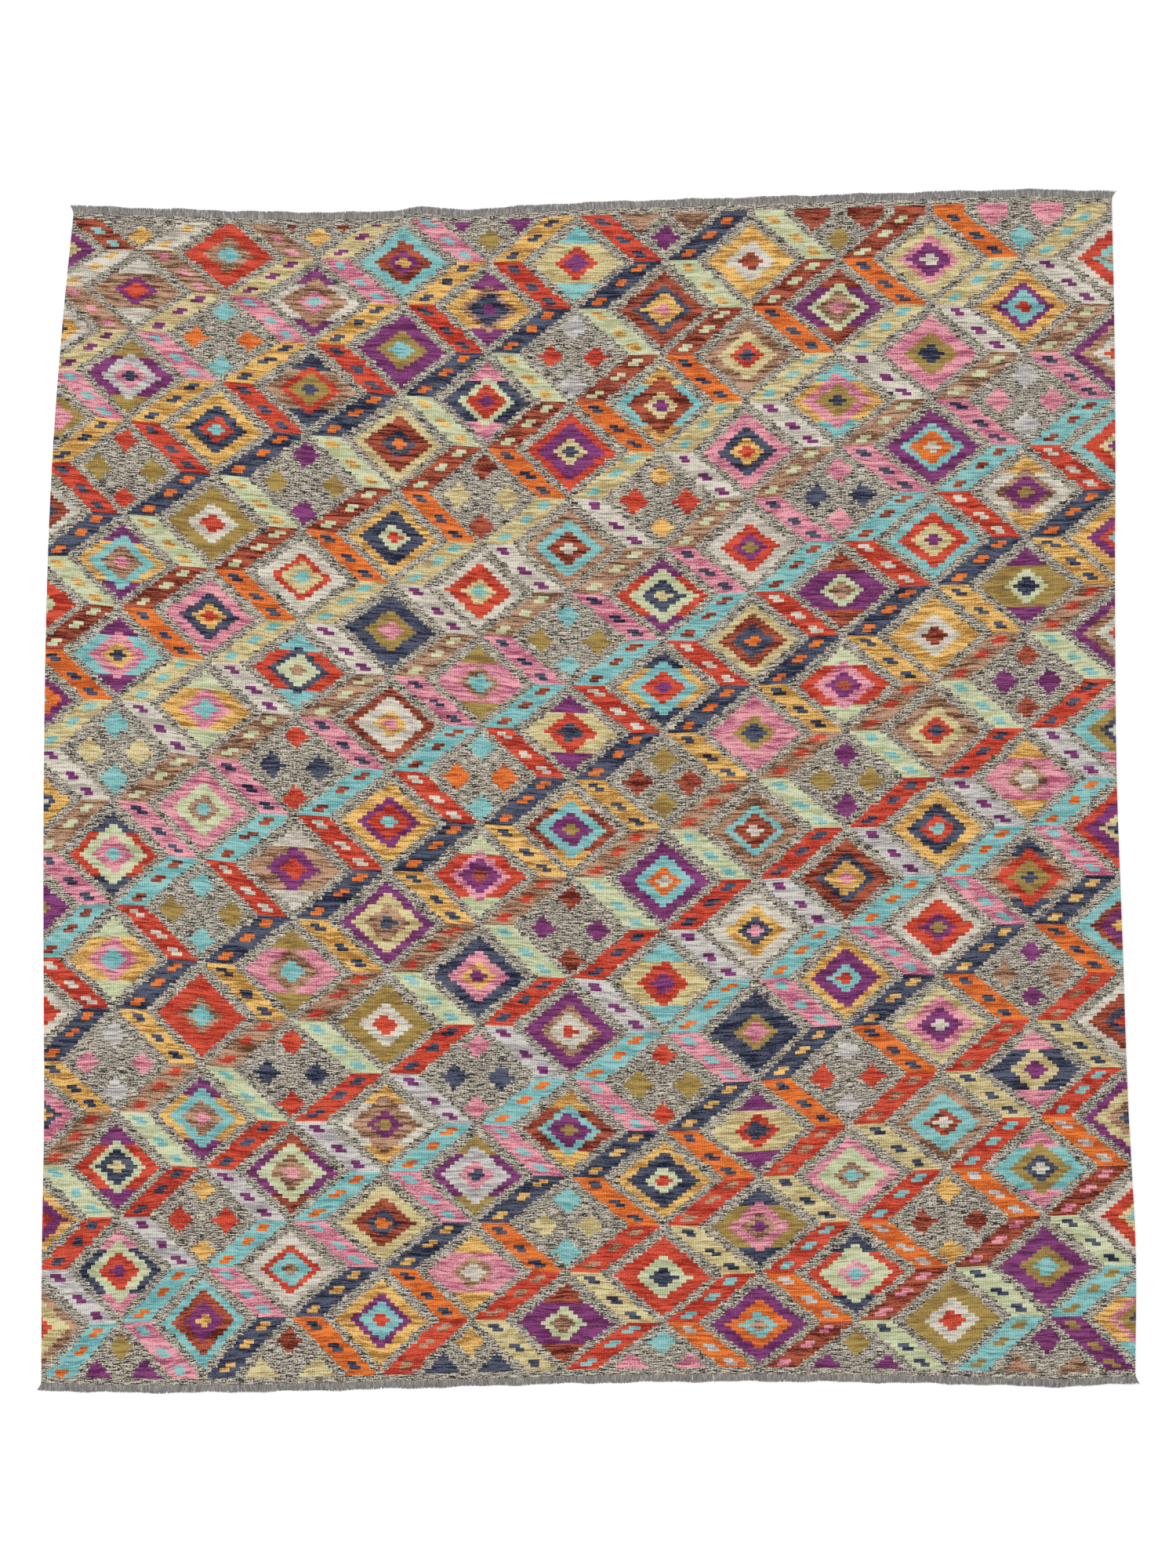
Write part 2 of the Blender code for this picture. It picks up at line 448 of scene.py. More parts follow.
FOURFOLD = [
    # upper and lower diamonds, left and right ones
    "maroon purple", "pink navy", "purple brown", "red olive", "olive purple", "red navy",
    "olive maroon", "turquoise olive", "amber red", "maroon cream", "turquoise pink",
    "amber maroon", "purple olive", "lilac red", "turquoise orange", "turquoise cream",
    "amber navy", "lilac pink",
]
CELL_SEED = 21
SIZE_SEED = 4
TIPPED_SHARE = (0.2, 0.72)  # of the medallions in even and in odd columns
LOW_PILE = 6                # recipes left when the whole list is shuffled in again
REACH = 10.5                # steps from a medallion's middle to its side tip
EDGE_SCALE = 16.0           # ring edges are stored as a share of this many steps


def is_fourfold(column, half_row):
    """Whether a cell holds four small diamonds."""
    if column % 2:
        places = (0, 4, 10, 16, 24) if column == 11 else (0, 6, 12, 18, 24)
        return half_row in places
    has_medallion = (column == 2 and half_row == 9) or (column == 10 and half_row < 20)
    return column % 4 == 2 and half_row % 6 == 3 and not has_medallion


BESIDE_RANGE = (5.0, 7.1)   # steps from the cell's middle to the side diamonds
OVER_RANGE = (6.4, 8.4)     # courses from it to the other two
SMALL_REACH = ((2.7, 3.4), (2.7, 3.4))      # in steps: the side diamonds, the others
END_REACH = {
    # the same at the far end and at the near end, where the side ones are cut in half
    0: ((3.6, 4.2), (2.8, 3.4)),
    HALF_ROWS: ((4.2, 5.0), (2.8, 3.4)),
}
END_BESIDE = 6.2            # steps: the side halves at an end stand at least this far out
FAR_CLOSER = 0.3            # courses: the diamond at the far end stands this much nearer
NEAR_OVER = 8.0             # courses from the cell's middle to the diamond at the near end


def fourfold_edges(half_row, dice, sizes):
    """The reach of the side diamonds and of the others, then how far out each pair stands."""
    beside, over = dice.uniform(*BESIDE_RANGE), dice.uniform(*OVER_RANGE)
    side_range, other_range = END_REACH.get(half_row, SMALL_REACH)
    side_reach, other_reach = sizes.uniform(*side_range), sizes.uniform(*other_range)
    if half_row in END_REACH:
        beside = max(beside, END_BESIDE)
        over = over - FAR_CLOSER if half_row == 0 else NEAR_OVER
    return side_reach, other_reach, beside, over


class Draw:
    """Takes recipes from a list in shuffled order, and adds the list again when few are left."""

    def __init__(self, recipes, dice):
        self.recipes, self.dice, self.pile = recipes, dice, []

    def take(self, shunned):
        if len(self.pile) < LOW_PILE:
            fresh = list(self.recipes)
            self.dice.shuffle(fresh)
            self.pile += fresh
        for index, recipe in enumerate(self.pile):
            if not shunned & set(recipe.split()[:2]):
                return self.pile.pop(index)
        return self.pile.pop(0)


def draw_cells():
    """One entry for each cell: its kind, its yarns and its ring edges in steps, from the heart's
    edge outwards."""
    dice, sizes = random.Random(CELL_SEED), random.Random(SIZE_SEED)
    ringed, tipped, fourfold = (Draw(recipes, dice) for recipes in (RINGED, TIPPED, FOURFOLD))
    cells = {}
    for half_row in range(-1, HALF_ROWS + 2):
        for column in range(0, COLUMNS + 1):
            if (column + half_row) % 2 == 0:
                continue
            beside = ((column - 1, half_row - 1), (column + 1, half_row - 1), (column, half_row - 2))
            shunned = {cells[place]["outer"] for place in beside if place in cells}
            if is_fourfold(column, half_row):
                upper, side = fourfold.take(set()).split()
                cells[column, half_row] = {
                    "outer": upper, "tips": side, "rings": (upper, upper, upper), "fourfold": 1.0,
                    "edges": fourfold_edges(half_row, dice, sizes),
                }
                continue
            with_tips = dice.random() < TIPPED_SHARE[column % 2]
            yarns = (tipped if with_tips else ringed).take(shunned).split()
            tips = yarns.pop(0) if with_tips else yarns[0]
            if len(yarns) == 3:
                outer, middle, heart = yarns
                inner = heart
                edges = (3.0, 3.0, dice.choice((5.0, 6.0)), REACH)
            else:
                outer, middle, inner, heart = yarns
                edges = (2.0, dice.choice((4.0, 5.0)), dice.choice((7.0, 8.0)), REACH)
            cells[column, half_row] = {
                "outer": outer, "tips": tips, "rings": (middle, inner, heart), "fourfold": 0.0,
                "edges": edges,
            }
    return cells


cells = draw_cells()
print(len(cells), "cells,", sum(cell["fourfold"] > 0 for cell in cells.values()), "fourfold")

# %% [markdown]
# ## Yarn numbers on the faces
# Each face of the sheet is told what the cell and the band around it are made of. The cells
# are rhombs with their corners on the crossings, so a face belongs to the nearest cell in
# that slanting measure. The values are face attributes: they are the same all over a face,
# so no colour bleeds into the next cell, and they stay with the faces through modifiers.

# %% Give every face its cell and its band
def cell_of(step, course):
    """The column and half row of the cell whose rhomb holds this place."""
    best = None
    nearest = round(step / COLUMN_STEPS)
    for column in (nearest - 1, nearest, nearest + 1):
        shift = 1 - column % 2
        half_row = 2 * round((course / HALF_ROW - shift) / 2) + shift
        far = abs(step / COLUMN_STEPS - column) + abs(course / HALF_ROW - half_row)
        if 0 <= column <= COLUMNS and (best is None or far < best[0]):
            best = (far, column, half_row)
    return best[1], min(max(best[2], -1), HALF_ROWS + 1)


def face_counts():
    """The mean count of each face of the sheet."""
    corners = np.zeros(len(cloth.data.loops) * 2)
    cloth.data.uv_layers["weave_count"].data.foreach_get("uv", corners)
    return corners.reshape(-1, 4, 2).mean(axis=1)


def face_yarns(counts):
    """Three lists of four values for each face."""
    rings, others, edges = [], [], []
    for face_step, face_course in counts:
        cell = cells[cell_of(face_step, face_course)]
        band, dash = band_of(face_step, face_course)
        middle, inner, heart = (yarn_number[name] for name in cell["rings"])
        rings.append((yarn_number[cell["outer"]], middle, inner, heart))
        others.append((yarn_number[cell["tips"]], yarn_number[band], yarn_number[dash], cell["fourfold"]))
        edges.append([edge / EDGE_SCALE for edge in cell["edges"]])
    return {"cell_rings": rings, "cell_others": others, "cell_edges": edges}


for name, values in face_yarns(face_counts()).items():
    layer = cloth.data.attributes.new(name, "FLOAT_COLOR", "FACE")
    layer.data.foreach_set("color", np.array(values).ravel())
print("faces told their yarns:", len(cloth.data.polygons))

# %% [markdown]
# ## Thickness
# The sheet gets its thickness from Solidify, downwards, so that the pattern shows on both
# faces as in a real kilim, and a small bevel rounds the edges where the wefts turn.

# %% Thicken the cloth and round its edges
EDGE_ROUND = 1.3 * MM


def apply_modifier(obj, kind, **settings):
    """Adds a modifier with its settings and applies it."""
    bpy.ops.object.select_all(action="DESELECT")
    obj.select_set(True)
    bpy.context.view_layer.objects.active = obj
    modifier = obj.modifiers.new(kind.lower(), kind)
    for setting, value in settings.items():
        setattr(modifier, setting, value)
    bpy.ops.object.modifier_apply(modifier=modifier.name)


apply_modifier(cloth, "SOLIDIFY", thickness=CLOTH_THICKNESS, offset=-1.0)
apply_modifier(cloth, "BEVEL", width=EDGE_ROUND, segments=2, limit_method="ANGLE",
               angle_limit=math.radians(50.0))
bpy.ops.object.shade_smooth()
print("cloth faces:", len(cloth.data.polygons), "attributes:", list(cloth.data.attributes.keys()))

# %% [markdown]
# ## Helpers for nodes
# A material that counts needs many small sums, so short helpers keep it readable: they do
# arithmetic, choose between two values, blend two colours, look a number up in a list, make a
# place or a noise, and read a stored value.

# %% Define the node helpers
class Bench:
    """A node tree to work on."""

    def __init__(self, name):
        self.material = bpy.data.materials.new(name)
        self.material.use_nodes = True
        self.tree = self.material.node_tree
        self.shader = self.tree.nodes["Principled BSDF"]

    def put(self, value, socket):
        if isinstance(value, bpy.types.NodeSocket):
            self.tree.links.new(value, socket)
        else:
            socket.default_value = value

    def calc(self, operation, *values):
        node = self.tree.nodes.new("ShaderNodeMath")
        node.operation = operation
        for value, socket in zip(values, node.inputs):
            self.put(value, socket)
        return node.outputs[0]

    def choose(self, test, if_true, if_false):
        node = self.tree.nodes.new("ShaderNodeMix")
        node.data_type = "FLOAT"
        self.put(test, node.inputs[0])
        self.put(if_false, node.inputs[2])
        self.put(if_true, node.inputs[3])
        return node.outputs[0]

    def blend(self, share, one, other, how="MIX"):
        node = self.tree.nodes.new("ShaderNodeMix")
        node.data_type, node.blend_type = "RGBA", how
        self.put(share, node.inputs[0])
        self.put(one, node.inputs[6])
        self.put(other, node.inputs[7])
        return node.outputs[2]

    def ramp(self, value, stops, how="LINEAR"):
        node = self.tree.nodes.new("ShaderNodeValToRGB")
        node.color_ramp.interpolation = how
        points = node.color_ramp.elements
        while len(points) < len(stops):
            points.new(1.0)
        for point, (place, colour) in zip(points, stops):
            point.position, point.color = place, colour
        self.put(value, node.inputs[0])
        return node.outputs[0]

    def vector(self, *parts):
        node = self.tree.nodes.new("ShaderNodeCombineXYZ")
        for part, socket in zip(parts, node.inputs):
            self.put(part, socket)
        return node.outputs[0]

    def noise(self, place, detail, roughness=0.5):
        node = self.tree.nodes.new("ShaderNodeTexNoise")
        node.inputs["Scale"].default_value = 1.0
        node.inputs["Detail"].default_value = detail
        node.inputs["Roughness"].default_value = roughness
        self.put(place, node.inputs["Vector"])
        return node.outputs[0]

    def stored(self, name):
        """A stored attribute's four values."""
        node = self.tree.nodes.new("ShaderNodeAttribute")
        node.attribute_name = name
        split = self.tree.nodes.new("ShaderNodeSeparateColor")
        self.tree.links.new(node.outputs["Color"], split.inputs[0])
        return [*split.outputs, node.outputs["Alpha"]]


# %% [markdown]
# ## Where the yarns go
# The material works as the weaver does. It reads the count, rounds it to whole ribs and
# courses, and asks of every place: is this a band, a dash on it, a ring of a medallion, or
# bare ground? A turn may fall a rib or so early or late, so a small drift, different for every
# course, is added to the count across the rug before the question is asked. Past the first and
# last course of the pattern the count stands still, so no new row starts before the plain strip.

# %% Choose the yarn at every place
wool = Bench("kilim_wool")
count_map = wool.tree.nodes.new("ShaderNodeUVMap")
count_map.uv_map = "weave_count"
count = wool.tree.nodes.new("ShaderNodeSeparateXYZ")
wool.tree.links.new(count_map.outputs[0], count.inputs[0])
step_at, course_at = count.outputs[0], count.outputs[1]

TURN_DRIFT = 1.5            # steps, across the whole range of the noise
BAND_MIDDLE = 4.5           # steps to the right of the slanting line through the crossings
BAND_HALF = 3.4             # steps from a band's middle to its side
DASH_MIDDLE = 4.25          # the same two for a dash
DASH_HALF = 1.2
DASH_REPEAT = 4.6           # courses from one dash to the next
DASH_SHARE = 0.45           # of those courses that a dash fills
DASH_START = 0.5            # courses before the first dash


def scaled(bench, first, first_scale, second, second_scale, third=0.0):
    """A place for a noise, stretched differently along the weft and along the warp."""
    return bench.vector(bench.calc("MULTIPLY", first, first_scale),
                        bench.calc("MULTIPLY", second, second_scale), third)


def centred(bench, value, size):
    """A noise moved to lie round zero, and scaled."""
    return bench.calc("MULTIPLY", bench.calc("SUBTRACT", value, 0.5), size)


def clamped(bench, value, low=0.0, high=1.0):
    return bench.calc("MINIMUM", bench.calc("MAXIMUM", value, low), high)


def woven_count(bench):
    """The count as whole ribs and courses, with the weaver's drift in it."""
    rib = bench.calc("FLOOR", bench.calc("MULTIPLY", step_at, RIBS_PER_STEP))
    rib_step = bench.calc("DIVIDE", bench.calc("ADD", rib, 0.5), RIBS_PER_STEP)
    whole_course = bench.calc("FLOOR", bench.calc("ADD", course_at, 0.5))
    whole_course = clamped(bench, whole_course, 0.0, HALF_ROWS * HALF_ROW)
    drift = bench.noise(scaled(bench, rib_step, 0.09, whole_course, 0.83, 3.0), 0.0)
    return bench.calc("ADD", rib_step, centred(bench, drift, TURN_DRIFT)), whole_course


def band_tests(bench, rib_step, whole_course):
    """Whether a place is on a band, and whether it is on one of its dashes."""
    column = bench.calc("FLOOR", bench.calc("DIVIDE", rib_step, COLUMN_STEPS))
    from_crossing = bench.calc("SUBTRACT", rib_step, bench.calc("MULTIPLY", column, COLUMN_STEPS))
    shifted = bench.calc("SUBTRACT", whole_course, bench.calc("MULTIPLY", column, HALF_ROW))
    in_repeat = bench.calc("FLOORED_MODULO", shifted, 2.0 * HALF_ROW)
    back = bench.calc("SUBTRACT", 2.0 * HALF_ROW - 1.0, in_repeat)
    risen = bench.calc("MINIMUM", in_repeat, back)
    slant = bench.calc("SUBTRACT", from_crossing, risen)
    on_band = bench.calc("COMPARE", slant, BAND_MIDDLE, BAND_HALF)
    past_start = bench.calc("SUBTRACT", risen, DASH_START)
    beat = bench.calc("FRACT", bench.calc("DIVIDE", past_start, DASH_REPEAT))
    in_dash_course = bench.calc("LESS_THAN", beat, DASH_SHARE)
    in_dash_width = bench.calc("COMPARE", slant, DASH_MIDDLE, DASH_HALF)
    return on_band, bench.calc("MULTIPLY", in_dash_width, in_dash_course)


def cell_distances(bench, rib_step, whole_course):
    """Steps across and courses up or down from the middle of the medallion."""
    column = bench.calc("ROUND", bench.calc("DIVIDE", rib_step, COLUMN_STEPS))
    odd = bench.calc("FLOORED_MODULO", column, 2.0)
    shift = bench.calc("MULTIPLY", bench.calc("SUBTRACT", 1.0, odd), HALF_ROW)
    aside = bench.calc("PINGPONG", rib_step, COLUMN_STEPS / 2.0)
    above = bench.calc("PINGPONG", bench.calc("SUBTRACT", whole_course, shift), HALF_ROW)
    return aside, above


def stepped(bench, aside, above, reach, slope=1.0):
    """Whether a place lies in a stepped diamond that narrows by the slope each course."""
    slanting = bench.calc("ADD", aside, bench.calc("MULTIPLY", above, slope))
    return bench.calc("LESS_THAN", slanting, reach)


rib_step, whole_course = woven_count(wool)
on_band, on_dash = band_tests(wool, rib_step, whole_course)
aside, above = cell_distances(wool, rib_step, whole_course)
outer, middle, inner, heart = wool.stored("cell_rings")
tips, band, dash, fourfold = wool.stored("cell_others")
edges = [wool.calc("MULTIPLY", edge, EDGE_SCALE) for edge in wool.stored("cell_edges")]
heart_edge, inner_edge, middle_edge, outer_edge = edges

TIP_COURSE = 5.5            # the tips of a two-toned outer ring start past this course
SMALL_SLOPE = 0.9           # steps that a small diamond narrows by in each course

ring_yarn = wool.choose(wool.calc("GREATER_THAN", above, TIP_COURSE), tips, outer)
ring_yarn = wool.choose(stepped(wool, aside, above, middle_edge), middle, ring_yarn)
ring_yarn = wool.choose(stepped(wool, aside, above, inner_edge), inner, ring_yarn)
ring_yarn = wool.choose(stepped(wool, aside, above, heart_edge), heart, ring_yarn)
on_ring = stepped(wool, aside, above, outer_edge)

beside_middle = wool.calc("ABSOLUTE", wool.calc("SUBTRACT", aside, middle_edge))
over_middle = wool.calc("ABSOLUTE", wool.calc("SUBTRACT", above, wool.calc("ROUND", outer_edge)))
on_side_diamond = stepped(wool, beside_middle, above, heart_edge, SMALL_SLOPE)
on_upper_diamond = stepped(wool, aside, over_middle, inner_edge, SMALL_SLOPE)
small_yarn = wool.choose(on_side_diamond, tips, outer)
on_small = wool.calc("MAXIMUM", on_side_diamond, on_upper_diamond)

cell_yarn = wool.choose(fourfold, small_yarn, ring_yarn)
on_cell = wool.choose(fourfold, on_small, on_ring)
band_yarn = wool.choose(on_dash, dash, band)
yarn_at = wool.choose(on_band, band_yarn, cell_yarn)
dyed = wool.calc("MAXIMUM", on_band, on_cell)

PLAIN_STRIP = 15.0 * MM     # of bare ground before each fringe
end_node = wool.tree.nodes.new("ShaderNodeAttribute")
end_node.attribute_name = "from_end"
past_strip = wool.calc("GREATER_THAN", end_node.outputs["Fac"], PLAIN_STRIP)
dyed = wool.calc("MULTIPLY", dyed, past_strip)

# %% [markdown]
# ## The wool itself
# A dyed yarn is a mix of its darker and lighter strand. Broad abrash, streaks, single picks
# and a fine grain are four noises added up. The first three are stretched far along the weft
# and the grain only a little, and all waver, as the beaten picks do. The ground is a marled
# yarn, spun of black and cream wool: a noise for its plies and the same fine grain make short
# dark and pale dashes on grey, with a faint patchiness over them.

# %% Colour the wool
PICKS_PER_COURSE = 3.4
COURSE_WAVE = 1.9           # courses, across the whole range of the noise
STREAK_WEIGHT = 4.0
PICK_WEIGHT = 1.5
ABRASH_WEIGHT = 1.8
GRAIN_WEIGHT = 1.6
PLY_WEIGHT = 1.0            # this one and the next two are for the marl
MARL_GRAIN_WEIGHT = 0.9
PATCH_WEIGHT = 0.12


def yarn_colours(bench, number, which):
    """Looks the yarn's number up in the list of its darker or lighter strands."""
    stops = [(index / YARN_SLOTS, linear(pair[which])) for index, pair in enumerate(YARNS.values())]
    return bench.ramp(number, stops, "CONSTANT")


# each noise: its scale along the weft and along the warp, its seed, its detail, its roughness
wave = wool.noise(scaled(wool, step_at, 0.10, course_at, 0.18, 17.0), 1.0, 0.6)
wavy_course = wool.calc("ADD", course_at, centred(wool, wave, COURSE_WAVE))
abrash = wool.noise(scaled(wool, step_at, 0.05, wavy_course, 0.33, 61.0), 1.0, 0.5)
streak = wool.noise(scaled(wool, step_at, 0.10, wavy_course, 1.3, 31.0), 2.0, 0.9)
grain = wool.noise(scaled(wool, step_at, 2.3, wavy_course, 3.7, 11.0), 0.0)
pick = wool.calc("FLOOR", wool.calc("MULTIPLY", wavy_course, PICKS_PER_COURSE))
pick_tone = wool.noise(scaled(wool, step_at, 0.33, pick, 7.31, 5.0), 0.0)
strand = wool.calc("ADD", centred(wool, streak, STREAK_WEIGHT), centred(wool, pick_tone, PICK_WEIGHT))
strand = wool.calc("ADD", strand, centred(wool, abrash, ABRASH_WEIGHT))
strand = wool.calc("ADD", strand, centred(wool, grain, GRAIN_WEIGHT))
strand = clamped(wool, wool.calc("ADD", strand, 0.5))
dyed_colour = wool.blend(strand, yarn_colours(wool, yarn_at, 0), yarn_colours(wool, yarn_at, 1))

ply = wool.noise(scaled(wool, step_at, 0.42, wavy_course, 3.8, 47.0), 0.0)
patch = wool.noise(scaled(wool, step_at, 0.09, course_at, 0.15, 41.0), 0.0)
marl_tone = wool.calc("ADD", centred(wool, ply, PLY_WEIGHT), centred(wool, grain, MARL_GRAIN_WEIGHT))
marl_tone = wool.calc("ADD", wool.calc("ADD", marl_tone, 0.5), centred(wool, patch, PATCH_WEIGHT))
MARL = [
    (0.26, linear("#272422")), (0.39, linear("#4f4943")), (0.48, linear("#90897e")),
    (0.61, linear("#b4ab9a")), (0.78, linear("#d5ccbb")),
]
ground_colour = wool.ramp(marl_tone, MARL)
colour = wool.blend(dyed, ground_colour, dyed_colour)

# %% [markdown]
# ## Ribs and picks
# Close up, the cloth is all ribs: each warp is a round cord under the wefts, and each pick
# is a small bead on it, with the beads of the next rib half a pick lower. Light and shade are
# painted into the colour: the grooves are a touch darker, because shade gathers there, the tops
# of the ribs a touch lighter, and a pick here and there that lies sunk between its neighbours
# is darker, as if in their shade. The relief is far too fine for geometry on a rug of this size,
# so it is bump.

# %% Add the relief and finish the wool
RIB_RELIEF = 0.5 * MM
PICK_DIP = 0.4              # how far a rib dips between two picks, as a share of its height
SUNK_BELOW = 0.41           # a pick lies sunk, in painted shade, where its tone is below this
SUNK_SHARPNESS = 7.0
SUNK_SHADE = 0.22           # how much painted shade darkens it there
PAINTED_GROOVE_SHADE = 0.79          # painted shade: brightness at the bottom of a groove
PAINTED_RIB_LIGHT = 0.30             # and how much painted light the top of a rib adds
LEAST_ROUGHNESS = 0.84
ROUGHNESS_SPREAD = 0.14
rib_at = wool.calc("MULTIPLY", step_at, RIBS_PER_STEP)
rib_wave = wool.calc("ABSOLUTE", wool.calc("SINE", wool.calc("MULTIPLY", rib_at, math.pi)))
rib_round = wool.calc("SQRT", rib_wave)
half_pick = wool.calc("MULTIPLY", wool.calc("FLOORED_MODULO", wool.calc("FLOOR", rib_at), 2.0), 0.5)
pick_at = wool.calc("ADD", wool.calc("MULTIPLY", wavy_course, PICKS_PER_COURSE), half_pick)
pick_wave = wool.calc("ABSOLUTE", wool.calc("SINE", wool.calc("MULTIPLY", pick_at, math.pi)))
pick_round = wool.calc("ADD", 1.0 - PICK_DIP, wool.calc("MULTIPLY", pick_wave, PICK_DIP))
bead = wool.calc("MULTIPLY", rib_round, pick_round)

# painted shade on a pick that lies sunk between its neighbours
below = wool.calc("SUBTRACT", SUNK_BELOW, pick_tone)
sunk_pick_shade = clamped(wool, wool.calc("MULTIPLY", below, SUNK_SHARPNESS))
# painted shade in the grooves between ribs and painted light on the rib tops
painted_rib_shading = wool.calc("ADD", PAINTED_GROOVE_SHADE, wool.calc("MULTIPLY", rib_wave, PAINTED_RIB_LIGHT))
shade = wool.calc("SUBTRACT", painted_rib_shading, wool.calc("MULTIPLY", sunk_pick_shade, SUNK_SHADE))
shaded = wool.blend(1.0, colour, wool.vector(shade, shade, shade), "MULTIPLY")
wool.put(shaded, wool.shader.inputs["Base Color"])
bump = wool.tree.nodes.new("ShaderNodeBump")
bump.inputs["Distance"].default_value = RIB_RELIEF
bump.inputs["Strength"].default_value = 0.8
wool.put(bead, bump.inputs["Height"])
wool.put(bump.outputs[0], wool.shader.inputs["Normal"])
roughness = wool.calc("ADD", LEAST_ROUGHNESS, wool.calc("MULTIPLY", pick_tone, ROUGHNESS_SPREAD))
wool.put(roughness, wool.shader.inputs["Roughness"])
wool.shader.inputs["Specular IOR Level"].default_value = 0.2
wool.shader.inputs["Sheen Weight"].default_value = 0.1
wool.shader.inputs["Sheen Roughness"].default_value = 0.5
cloth.data.materials.clear()
cloth.data.materials.append(wool.material)

# %% [markdown]
# ## The fringe
# At each end the warps stick out past the last weft, cut short. Each is built as a plain
# strand that thins towards its tip, and they lie in two layers, thick ones and, a little higher,
# thin ones that cross more. None goes below the floor. They are curves with a small bevel,
# because a strand is a line with a thickness, and one curve object holds a whole fringe, which
# becomes a mesh at the end. At the corners the strands fan out.

# %% Lay the strands of both fringes
FRINGE_LENGTH = {-1: 17.5 * MM, 1: 19.5 * MM}   # past the cloth: the near end, the far end
TUCK = 4.0 * MM             # how far inside the cloth's edge a strand starts
FAN_REACH = 0.045           # how far from a corner the strands fan out
FAN_LEAN = 9.0 * MM
FRINGE_SEED = 5
LAYERS = [
    # strands, radius in mm, lean spread in mm, height in radii, share of the full length
    (1500, 1.20, 0.8, 1.0, 0.94),
    (4200, 0.50, 2.8, 3.2, 1.00),
]
STRAND_POINTS = [
    # share of the length, of the resting height and of the radius
    (0.0, 1.0, 1.0),
    (0.3, 1.0, 1.05),
    (0.7, 0.85, 0.95),
    (1.0, 0.6, 0.45),
]
STRAND_WAVE = 0.3 * MM      # how far a strand strays sideways by its tip
PLACE_RANGE = (0.2, 0.8)    # where a strand stands within its own share of the end
REST_RANGE = (0.9, 1.25)    # of its layer's height
THICK_RANGE = (0.85, 1.1)   # of its layer's radius
CUT_SPREAD = 0.15           # a strand may be this share shorter


def end_line(end, x):
    return far_y(x) if end > 0 else near_y(x)


def strand_points(end, x, layer, dice):
    """A strand's points and thicknesses, from its root to its tip."""
    first, last = (far_line if end > 0 else near_line)[[0, -1], 0]
    radius, spread, height, share = layer[1:]
    lean = dice.gauss(0.0, spread * MM)
    if x - first < FAN_REACH:
        lean -= FAN_LEAN * (1.0 - (x - first) / FAN_REACH) ** 2
    if last - x < FAN_REACH:
        lean += FAN_LEAN * (1.0 - (last - x) / FAN_REACH) ** 2
    # the line of the cut wavers along the end
    ragged = 1.3 * MM * math.sin(31.0 * x) + 0.9 * MM * math.sin(77.0 * x + 1.0)
    length = (FRINGE_LENGTH[end] + ragged) * share * (1.0 - CUT_SPREAD * dice.random() ** 2)
    rest = radius * MM * height * dice.uniform(*REST_RANGE)
    points = []
    for part, settle, thick in STRAND_POINTS:
        out = -TUCK + (length + TUCK) * part
        wave = dice.gauss(0.0, STRAND_WAVE) * part
        half_thick = thick * dice.uniform(*THICK_RANGE) * radius * MM
        off_floor = max(rest * settle, half_thick)
        place = (x + lean * part * part + wave, end_line(end, x) + end * out, off_floor)
        points.append((place, half_thick))
    return points


def lay_fringe(name, end):
    """One fringe, both layers of its strands, as a single mesh."""
    dice = random.Random(FRINGE_SEED + end)
    first, last = (far_line if end > 0 else near_line)[[0, -1], 0]
    curve = bpy.data.curves.new(name, "CURVE")
    curve.dimensions = "3D"
    curve.bevel_depth = 1.0     # so a point's radius is the strand's own, in metres
    curve.bevel_resolution = 0
    curve.use_fill_caps = True
    for layer in LAYERS:
        for index in range(layer[0]):
            share = (index + dice.uniform(*PLACE_RANGE)) / layer[0]
            points = strand_points(end, first + (last - first) * share, layer, dice)
            spline = curve.splines.new("POLY")
            spline.points.add(len(points) - 1)
            for point, (place, thick) in zip(spline.points, points):
                point.co = (*place, 1.0)
                point.radius = thick
    row = bpy.data.objects.new(name, curve)
    bpy.context.scene.collection.objects.link(row)
    bpy.ops.object.select_all(action="DESELECT")
    row.select_set(True)
    bpy.context.view_layer.objects.active = row
    bpy.ops.object.convert(target="MESH")
    row = bpy.context.object
    bpy.ops.object.shade_smooth()
    return row


fringe_near = lay_fringe("warp_ends_near", -1)
fringe_far = lay_fringe("warp_ends_far", 1)
print("fringe faces:", len(fringe_near.data.polygons), len(fringe_far.data.polygons))

# %% [markdown]
# ## The warp yarn
# The cut ends are plain grey wool, spun of dark and light fibres. A noise, fine across the rug
# and long along the strands, gives neighbours slightly different greys and a pale fleck here
# and there.

# %% Colour the fringe
warp = Bench("warp_yarn")
where = warp.tree.nodes.new("ShaderNodeTexCoord")
spread = warp.tree.nodes.new("ShaderNodeMapping")
GREY_SCALE = (420.0, 60.0, 200.0)
spread.inputs["Scale"].default_value = GREY_SCALE
warp.tree.links.new(where.outputs["Object"], spread.inputs[0])
strand_grey = warp.noise(spread.outputs[0], 1.0)
WARP_GREYS = [
    (0.30, linear("#736e6c")), (0.45, linear("#86827f")), (0.60, linear("#999592")),
    (0.74, linear("#b4b0ab")), (0.80, linear("#ece8e0")),
]
warp.put(warp.ramp(strand_grey, WARP_GREYS), warp.shader.inputs["Base Color"])
warp.shader.inputs["Roughness"].default_value = 0.9
warp.shader.inputs["Specular IOR Level"].default_value = 0.2
for row in (fringe_near, fringe_far):
    row.data.materials.clear()
    row.data.materials.append(warp.material)
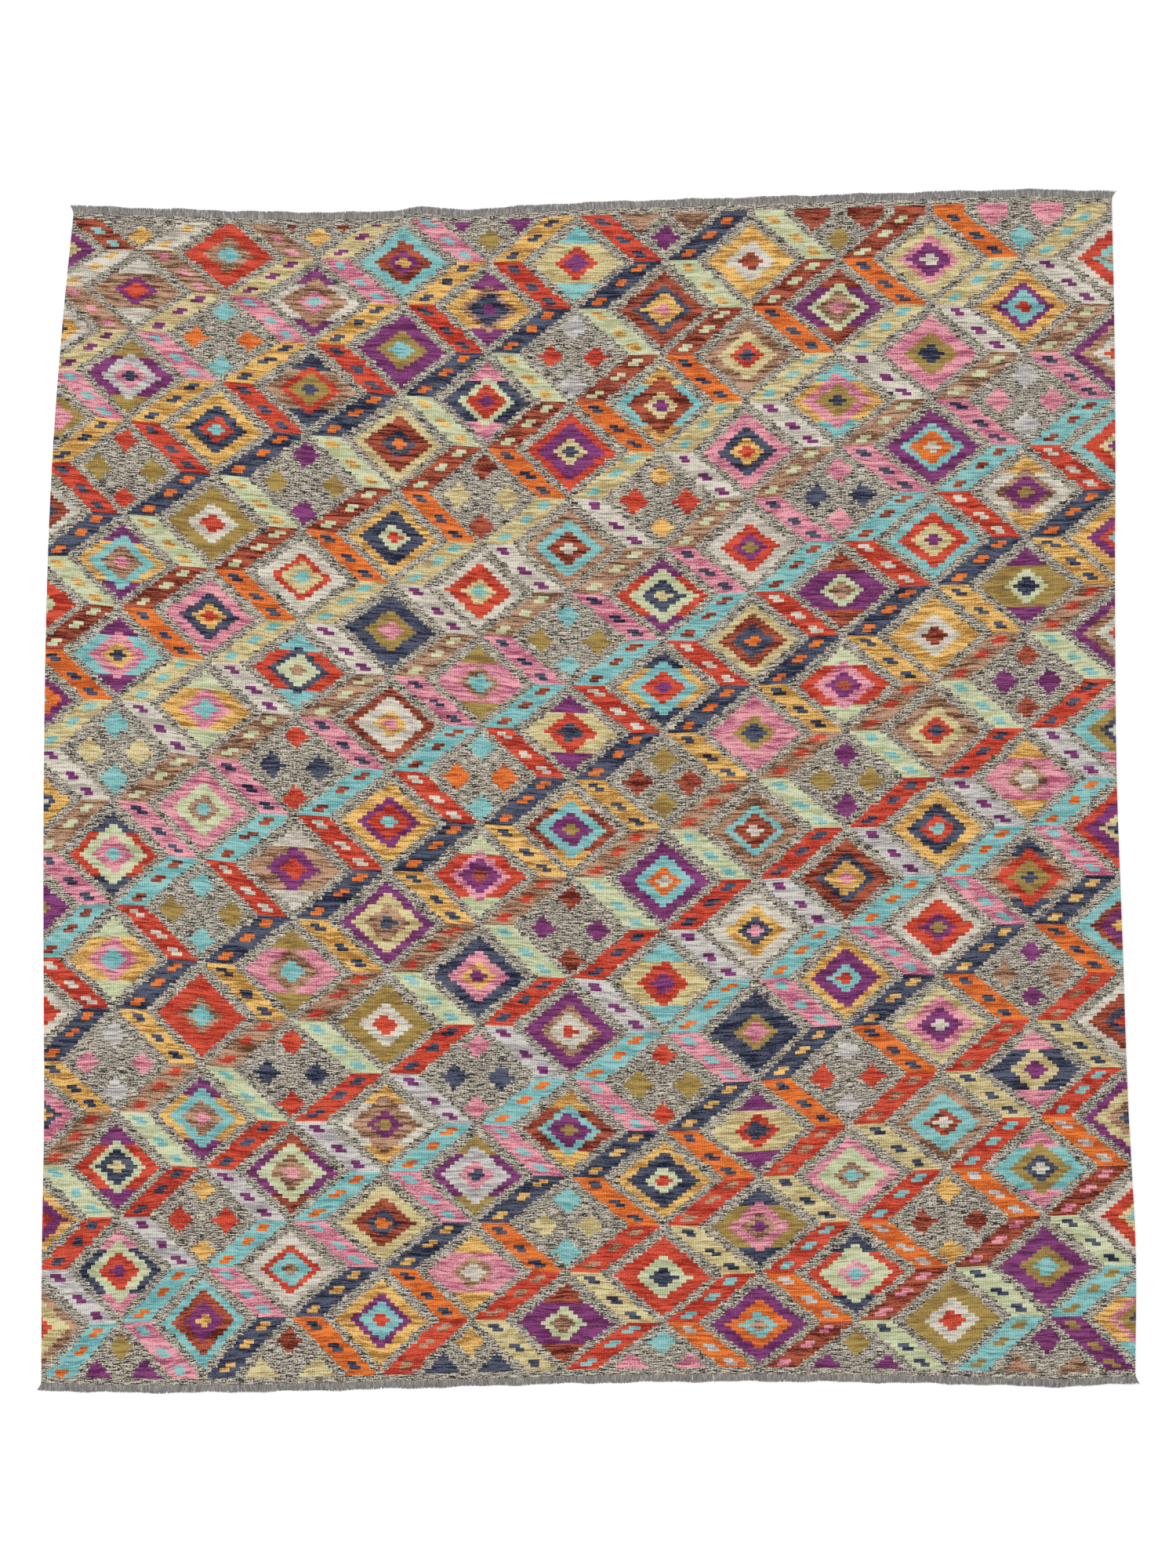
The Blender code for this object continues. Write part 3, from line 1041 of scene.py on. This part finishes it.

# %% [markdown]
# ## Join the pieces to the part
# Each piece rides on the rug's one body and stands for its solid.

# %% Ride and replace
for piece, node, finish in (
    (cloth, "kilim_field", "woven_wool"),
    (fringe_near, "fringe_near", "warp_ends"),
    (fringe_far, "fringe_far", "warp_ends"),
):
    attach(piece, "root")
    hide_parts(node)

# %% [markdown]
# ## Floor, light and camera
# The rug lies on a plain pale floor under an even studio light. The camera hangs almost
# straight above it, a little towards the near end. In the photograph the near end looks about
# one part in eighteen wider than the far end, and that gives the tilt.

# %% Set the floor, the light and the camera
bpy.ops.object.select_all(action="DESELECT")
bpy.ops.mesh.primitive_plane_add(size=16.0, location=(0.0, 0.0, 0.0))
floor = bpy.context.object
floor.name = "studio_floor"
floor_finish = Bench("pale_floor")
floor_finish.shader.inputs["Base Color"].default_value = (0.98, 0.98, 0.98, 1.0)
floor_finish.shader.inputs["Roughness"].default_value = 0.9
floor.data.materials.append(floor_finish.material)

world = bpy.data.worlds.new("studio")
bpy.context.scene.world = world
world.use_nodes = True
world.node_tree.nodes["Background"].inputs["Color"].default_value = (1.0, 1.0, 1.0, 1.0)
world.node_tree.nodes["Background"].inputs["Strength"].default_value = 0.74

soft_light = bpy.data.lights.new("soft_overhead", "AREA")
soft_light.shape = "SQUARE"
soft_light.size = 8.0
soft_light.energy = 290.0
lamp = bpy.data.objects.new("soft_overhead", soft_light)
lamp.location = (-1.2, 1.0, 7.5)
lamp.rotation_euler = (math.radians(-7.0), math.radians(-9.0), 0.0)
bpy.context.scene.collection.objects.link(lamp)

LENS = 50.0
VIEW_DISTANCE = 5.084
VIEW_TILT = math.radians(5.76)
AIM = (0.0062, -0.0217, 0.0)
view = bpy.data.cameras.new("photo_view")
view.lens = LENS
view.sensor_width = 36.0
camera = bpy.data.objects.new("photo_view", view)
back, up = VIEW_DISTANCE * math.sin(VIEW_TILT), VIEW_DISTANCE * math.cos(VIEW_TILT)
camera.location = (AIM[0], AIM[1] - back, up)
camera.rotation_euler = (VIEW_TILT, 0.0, 0.0)
bpy.context.scene.collection.objects.link(camera)
bpy.context.scene.camera = camera
bpy.context.scene.view_settings.view_transform = "Standard"
